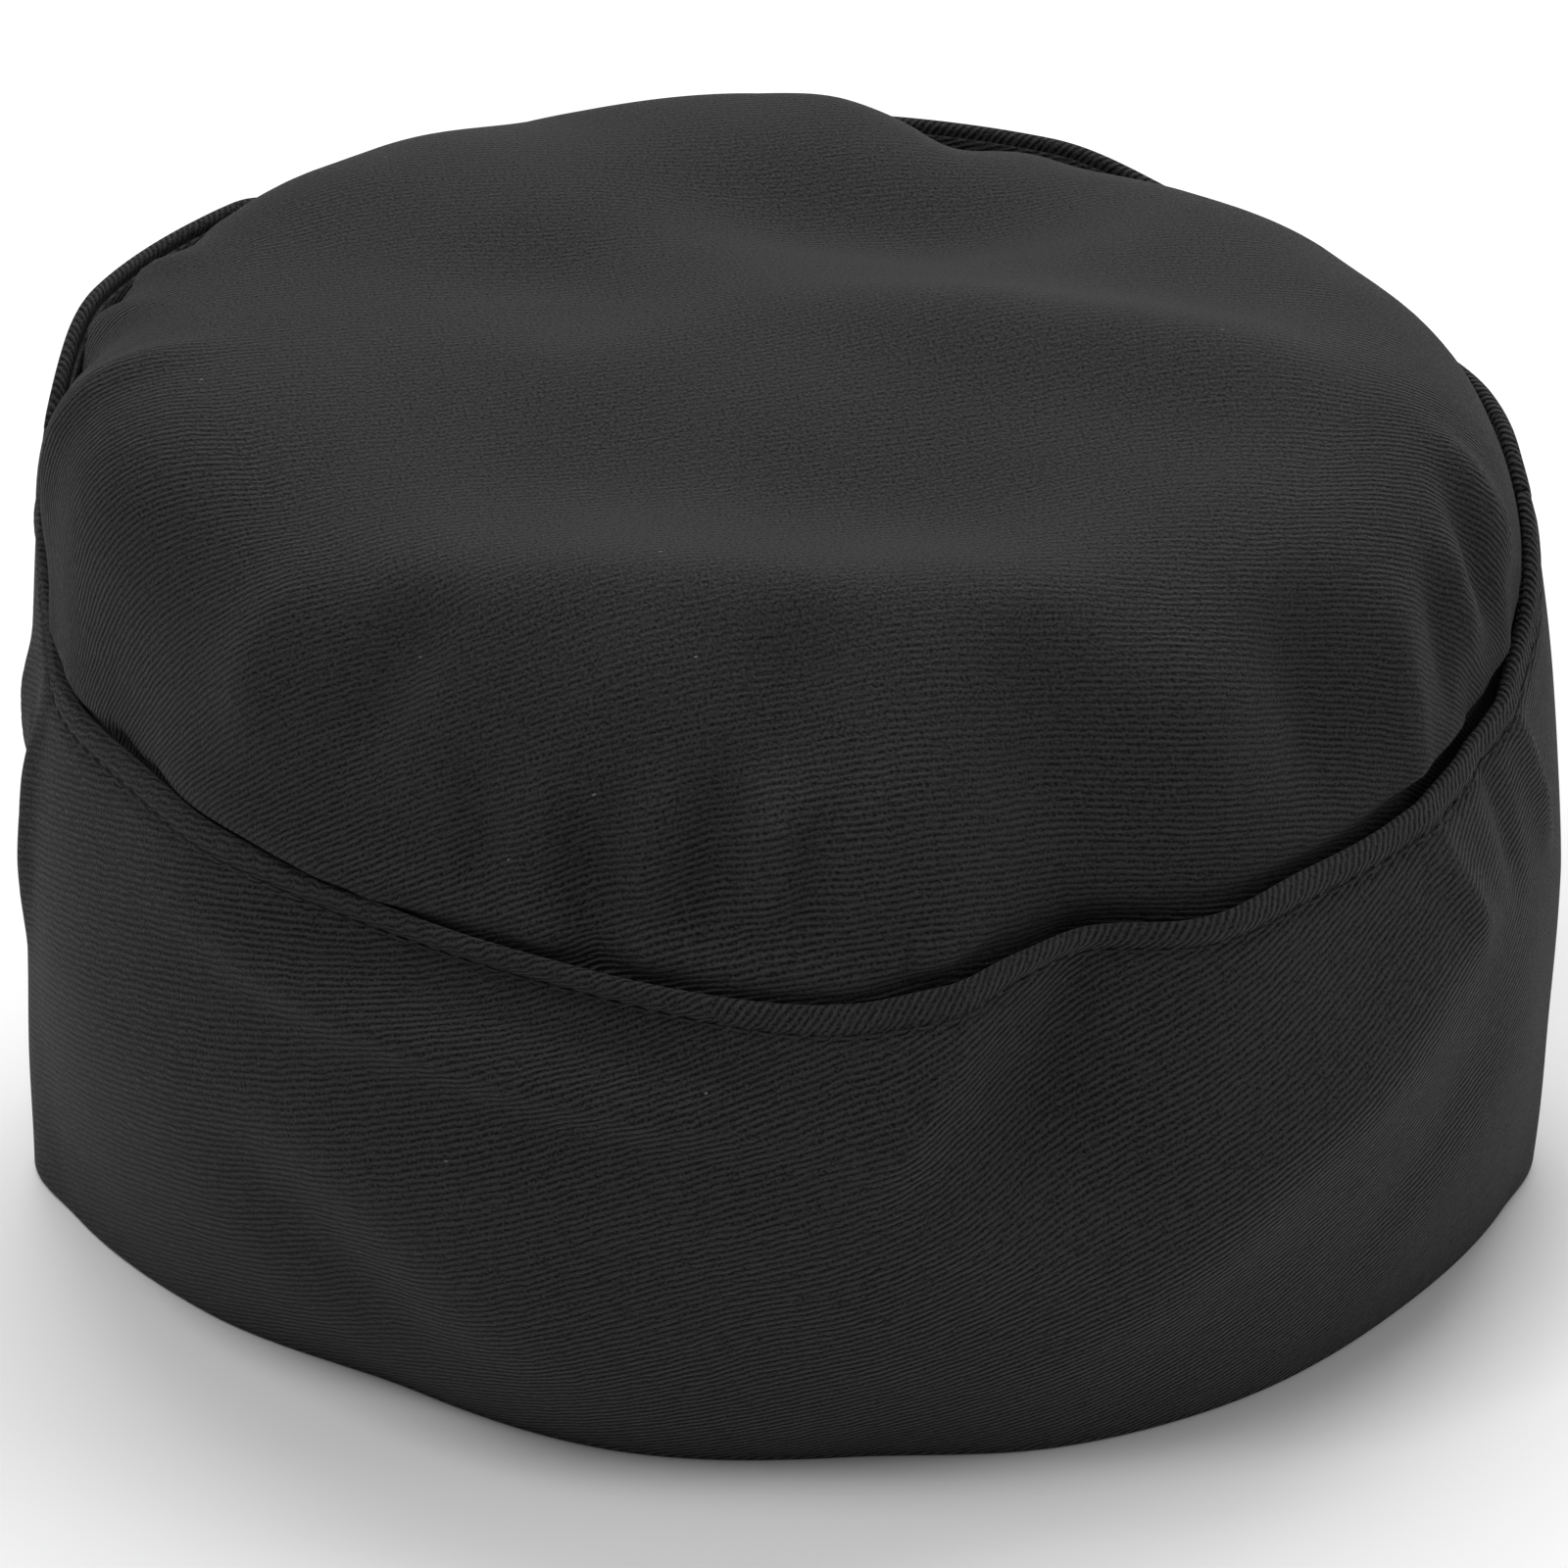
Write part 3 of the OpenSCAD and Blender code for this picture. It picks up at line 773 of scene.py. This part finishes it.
TWILL = twill_material("black_twill")
CROWN_TWILL = twill_material("black_twill_crown", 0.8)
THREAD_MATERIAL = plain_cloth("black_thread", (0.002, 0.002, 0.002), (0.008, 0.008, 0.008), 2500, 0.00005,
                              0.85, 0.02)
TAPE_MATERIAL = plain_cloth("black_tape", (0.01, 0.01, 0.011), (0.03, 0.03, 0.031), 1500, 0.0001)
FELT = plain_cloth("grey_interlining", (0.05, 0.05, 0.05), (0.16, 0.16, 0.16), 900, 0.0001)
LABEL = plain_cloth("white_label", (0.5, 0.49, 0.46), (0.68, 0.67, 0.64), 2000, 0.00004, 0.6)


def finish_piece(obj, material, slot, *nodes):
    """Gives a piece its material and its body, and hides the CAD nodes that it stands for."""
    obj.data.materials.append(material)
    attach(obj, "root")
    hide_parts(*nodes)
    return obj


# ---- Thread ----

SIDES = 6                         # of a thread's cross-section
STITCH_POINTS = 6
STITCH_DIP = 0.3
BLUNT, THINNEST = 1.05, 0.06
ASIDE = np.array([0.31, 0.27, 0.91])    # no stitch runs this way


def tube(line, radius):
    """Vertices and faces of one stitch: a short tube along a line, thin at both ends."""
    line = np.asarray(line, float)
    ahead = unit(np.gradient(line, axis=0))
    side = unit(np.cross(ahead, ASIDE))
    other = np.cross(ahead, side)
    share = np.linspace(-1, 1, len(line))
    girth = radius * np.sqrt(np.clip(BLUNT - share ** 4, THINNEST, 1))[:, None]
    angles = np.arange(SIDES) * 2 * math.pi / SIDES
    ring = [line + girth * (side * math.cos(a) + other * math.sin(a)) for a in angles]
    vertices = np.stack(ring, axis=1).reshape(-1, 3)
    faces = []
    for i in range(len(line) - 1):
        for k in range(SIDES):
            near, far = i * SIDES, (i + 1) * SIDES
            faces.append([near + k, near + (k + 1) % SIDES, far + (k + 1) % SIDES, far + k])
    faces.append(list(range(SIDES))[::-1])
    faces.append([len(vertices) - SIDES + k for k in range(SIDES)])
    return vertices, faces


def stitches(name, lines):
    vertices, faces, count = [], [], 0
    for line in lines:
        v, f = tube(line, THREAD)
        vertices.append(v)
        faces += [[i + count for i in face] for face in f]
        count += len(v)
    return new_mesh(name, np.concatenate(vertices), faces)


def row_of_stitches(t0, t1, height, inset):
    """Lines for a row of stitches at height(t), inset behind the cuff's outside. Each dips at its ends."""
    t = np.arange(t0, t1, 0.1)
    path = point(t, cuff_radius(t, height(t)) - inset, height(t))
    run = np.concatenate([[0], np.cumsum(np.linalg.norm(np.diff(path, axis=0), axis=1))])
    outward = unit(path * np.array([1, 1, 0]))
    lines = []
    for start in np.arange(0, run[-1] - STITCH_LENGTH, STITCH_PITCH):
        at = start + np.linspace(0, STITCH_LENGTH, STITCH_POINTS)
        middle = np.stack([np.interp(at, run, path[:, k]) for k in range(3)], axis=-1)
        out = np.stack([np.interp(at, run, outward[:, k]) for k in range(3)], axis=-1)
        dip = STITCH_DIP * np.linspace(-1, 1, STITCH_POINTS)[:, None] ** 4
        lines.append(middle - out * dip)
    return lines


# ---- The pieces ----

SWEATBAND_ANGLE = 108
SWEATBAND_LOW, SWEATBAND_HIGH = 6, 30
CASING_ANGLE = 112
CASING_LOW, CASING_HIGH = 3, 29
ELASTIC_LOW, ELASTIC_HIGH = 6, 26
ELASTIC = 1.1
CASING_INSET = LINING_INSET + ELASTIC + 0.3
LABEL_ANGLE = 9.5
LABEL_LOW, LABEL_HIGH = 5.5, 27.5
LABEL_INSET = CASING_INSET + PLY + 0.5
LABEL_PLY = 0.3
GATHER_HEIGHT = 10
RIM_STITCH_HEIGHT = 5
BINDING_LOW, BINDING_HIGH = 0.1, 3.2


FELT_END = 0.4
FROM_EDGE = 1.5                   # from a tape's edge to its row of stitches
EDGE_THREAD_INSET = 0.15          # the edge's stitches lie in their groove
ON_TOP = 0.15                     # how far a thread's middle is from the face it lies on
SEAM_START, SEAM_STOP = 3, 8
TACK_TURN = 5                     # degrees from the casing's end to the bar tack
TACK_PITCH, TACK_RISE, TACK_MARGIN = 0.55, 0.25, 2


def thread(name, lines, node):
    """A row of stitches, which stands for its CAD node."""
    finish_piece(stitches(name, lines), THREAD_MATERIAL, "thread", node)


def crown_and_gathers():
    panel = finish_piece(crown(), CROWN_TWILL, "twill", "crown_panel")
    thread("crown_gather_thread", row_of_stitches(-180, 180, level(GATHER_HEIGHT), CROWN_INSET - 0.2),
           "crown_gather_stitch")


def cuff_half(side, t0, t1):
    """The three plies of the front or the back of the cuff."""
    shell = finish_piece(cuff_outer(f"cuff_{side}_cloth", t0, t1), TWILL, "twill", f"cuff_{side}_shell")
    facing = ply(f"cuff_{side}_facing_cloth", t0 + SEAM_GAP, t1 - SEAM_GAP, level(FACING_TRIM),
                 lambda t: cuff_height(t) - FACING_TRIM, FACING_INSET, PLY, -BAND_RIBS, 60)
    finish_piece(facing, TWILL, "twill", f"cuff_{side}_facing")
    felt = ply(f"cuff_{side}_interlining_felt", t0 + FELT_END, t1 - FELT_END, level(2 * FACING_TRIM),
               lambda t: cuff_height(t) - 2 * FACING_TRIM, INTERLINING_INSET, INTERLINING, 0, 40)
    finish_piece(felt, FELT, "interlining", f"cuff_{side}_interlining")


def edge_topstitch():
    lines = row_of_stitches(-180, 180, lambda t: cuff_height(t) - STITCH_DROP, EDGE_THREAD_INSET)
    thread("cuff_edge_thread", lines, "cuff_edge_stitch")


def side_seam(side, angle):
    lines = []
    for low in np.arange(SEAM_START, float(cuff_height(angle)) - SEAM_STOP, STITCH_PITCH):
        z = np.linspace(low, low + STITCH_LENGTH, STITCH_POINTS)
        lines.append(point(angle, cuff_radius(angle, z) - FACING_INSET - PLY - ON_TOP, z))
    thread(f"side_seam_thread_{side}", lines, f"side_seam_stitch_{side}")


def rim():
    binding = ply("rim_binding_tape", -180, 180, level(BINDING_LOW), level(BINDING_HIGH), LINING_INSET,
                  TAPE, 0, 6)
    finish_piece(binding, TAPE_MATERIAL, "tape", "rim_binding")
    thread("rim_thread", row_of_stitches(-180, 180, level(RIM_STITCH_HEIGHT), LINING_INSET - 0.3),
           "rim_stitch")


def sweatband():
    band = ply("sweatband_tape", -SWEATBAND_ANGLE, SWEATBAND_ANGLE, level(SWEATBAND_LOW),
               level(SWEATBAND_HIGH), LINING_INSET, TAPE, 0, 16)
    finish_piece(band, TAPE_MATERIAL, "tape", "sweatband")
    lines = row_of_stitches(1 - SWEATBAND_ANGLE, SWEATBAND_ANGLE - 1, level(SWEATBAND_HIGH - FROM_EDGE),
                            LINING_INSET + TAPE)
    thread("sweatband_thread", lines, "sweatband_stitch")


def elastic_and_casing():
    elastic = ply("back_elastic_band", CASING_ANGLE + 2, 358 - CASING_ANGLE, level(ELASTIC_LOW),
                  level(ELASTIC_HIGH), LINING_INSET, ELASTIC, 0, 8)
    finish_piece(elastic, TAPE_MATERIAL, "elastic", "back_elastic")
    casing = ply("elastic_casing_cloth", CASING_ANGLE, 360 - CASING_ANGLE, level(CASING_LOW),
                 level(CASING_HIGH), CASING_INSET, PLY, BAND_RIBS, 24)
    finish_piece(casing, TWILL, "twill", "elastic_casing")
    lines = []
    for z in (CASING_LOW + FROM_EDGE, CASING_HIGH - FROM_EDGE):
        lines += row_of_stitches(CASING_ANGLE + 1, 359 - CASING_ANGLE, level(z), CASING_INSET + PLY)
    thread("casing_thread", lines, "casing_stitch")


def bar_tack(side, angle):
    """Close short stitches across the elastic's end."""
    along = np.linspace(-1, 1, STITCH_POINTS)
    lines = []
    for z in np.arange(ELASTIC_LOW + TACK_MARGIN, ELASTIC_HIGH - TACK_MARGIN, TACK_PITCH):
        t = angle + along
        lines.append(point(t, cuff_radius(t, z) - CASING_INSET - PLY - 0.1, z + TACK_RISE * along))
    thread(f"elastic_tack_thread_{side}", lines, f"elastic_tack_{side}")


def care_label():
    """A blank ribbon."""
    label = ply("care_label_ribbon", 180 - LABEL_ANGLE, 180 + LABEL_ANGLE, level(LABEL_LOW),
                level(LABEL_HIGH), LABEL_INSET, LABEL_PLY, 0, 12)
    finish_piece(label, LABEL, "label", "care_label")
    lines = row_of_stitches(181 - LABEL_ANGLE, 179 + LABEL_ANGLE, level(LABEL_HIGH - FROM_EDGE),
                            LABEL_INSET + LABEL_PLY)
    thread("care_label_thread", lines, "care_label_stitch")


crown_and_gathers()
cuff_half("front", -SEAM_ANGLE, SEAM_ANGLE)
cuff_half("back", SEAM_ANGLE, 360 - SEAM_ANGLE)
edge_topstitch()
side_seam("left", -SEAM_ANGLE)
side_seam("right", SEAM_ANGLE)
rim()
sweatband()
elastic_and_casing()
bar_tack("left", 360 - CASING_ANGLE - TACK_TURN)
bar_tack("right", CASING_ANGLE + TACK_TURN)
care_label()

# ---- Stage, light and camera ----

FLOOR_HALF = 6.0
FLOOR_COLOUR = (0.88, 0.88, 0.88, 1)
FLOOR_ROUGHNESS = 0.9


def stage():
    mesh = bpy.data.meshes.new("floor")
    corners = [(-1, -1), (1, -1), (1, 1), (-1, 1)]
    mesh.from_pydata([(x * FLOOR_HALF, y * FLOOR_HALF, 0) for x, y in corners], [], [[0, 1, 2, 3]])
    floor = bpy.data.objects.new("floor", mesh)
    bpy.context.scene.collection.objects.link(floor)
    material, _, _, shader = node_tree("pale_floor")
    shader.inputs["Base Color"].default_value = FLOOR_COLOUR
    shader.inputs["Roughness"].default_value = FLOOR_ROUGHNESS
    floor.data.materials.append(material)


SKY = 0.36
LIGHT_AIM = (0, 0, 0.05)
LIGHTS = [                        # name, watts, side, place
    ("front_top", 6, 0.6, (-0.38, -0.45, 1.15)),
    ("right_side", 1.5, 0.5, (0.9, -0.15, 0.45)),
    ("back_top", 12, 1.0, (0.08, 0.6, 1.1)),
]


def area_light(name, power, size, where):
    data = bpy.data.lights.new(name, "AREA")
    data.energy, data.size = power, size
    light = bpy.data.objects.new(name, data)
    light.location = where
    direction = Vector(LIGHT_AIM) - Vector(where)
    light.rotation_euler = direction.to_track_quat("-Z", "Y").to_euler()
    bpy.context.scene.collection.objects.link(light)


def lights():
    world = bpy.data.worlds.new("studio")
    bpy.context.scene.world = world
    world.use_nodes = True
    background = world.node_tree.nodes["Background"]
    background.inputs[0].default_value = (1, 1, 1, 1)
    background.inputs[1].default_value = SKY
    for light in LIGHTS:
        area_light(*light)


CAMERA_HEIGHT = 27                # degrees above the table
CAMERA_DISTANCE = 1.2
CAMERA_AIM = 0.054
CAMERA_LENS = 221.7
SENSOR = 36
CLIP_END = 50


def camera():
    data = bpy.data.cameras.new("camera")
    data.lens, data.sensor_width = CAMERA_LENS, SENSOR
    data.clip_end = CLIP_END
    eye = bpy.data.objects.new("camera", data)
    a = math.radians(CAMERA_HEIGHT)
    eye.location = (0, -CAMERA_DISTANCE * math.cos(a), CAMERA_AIM + CAMERA_DISTANCE * math.sin(a))
    eye.rotation_euler = (math.radians(90 - CAMERA_HEIGHT), 0, 0)
    bpy.context.scene.collection.objects.link(eye)
    bpy.context.scene.camera = eye


stage()
lights()
camera()
bpy.context.scene.view_settings.view_transform = "Standard"
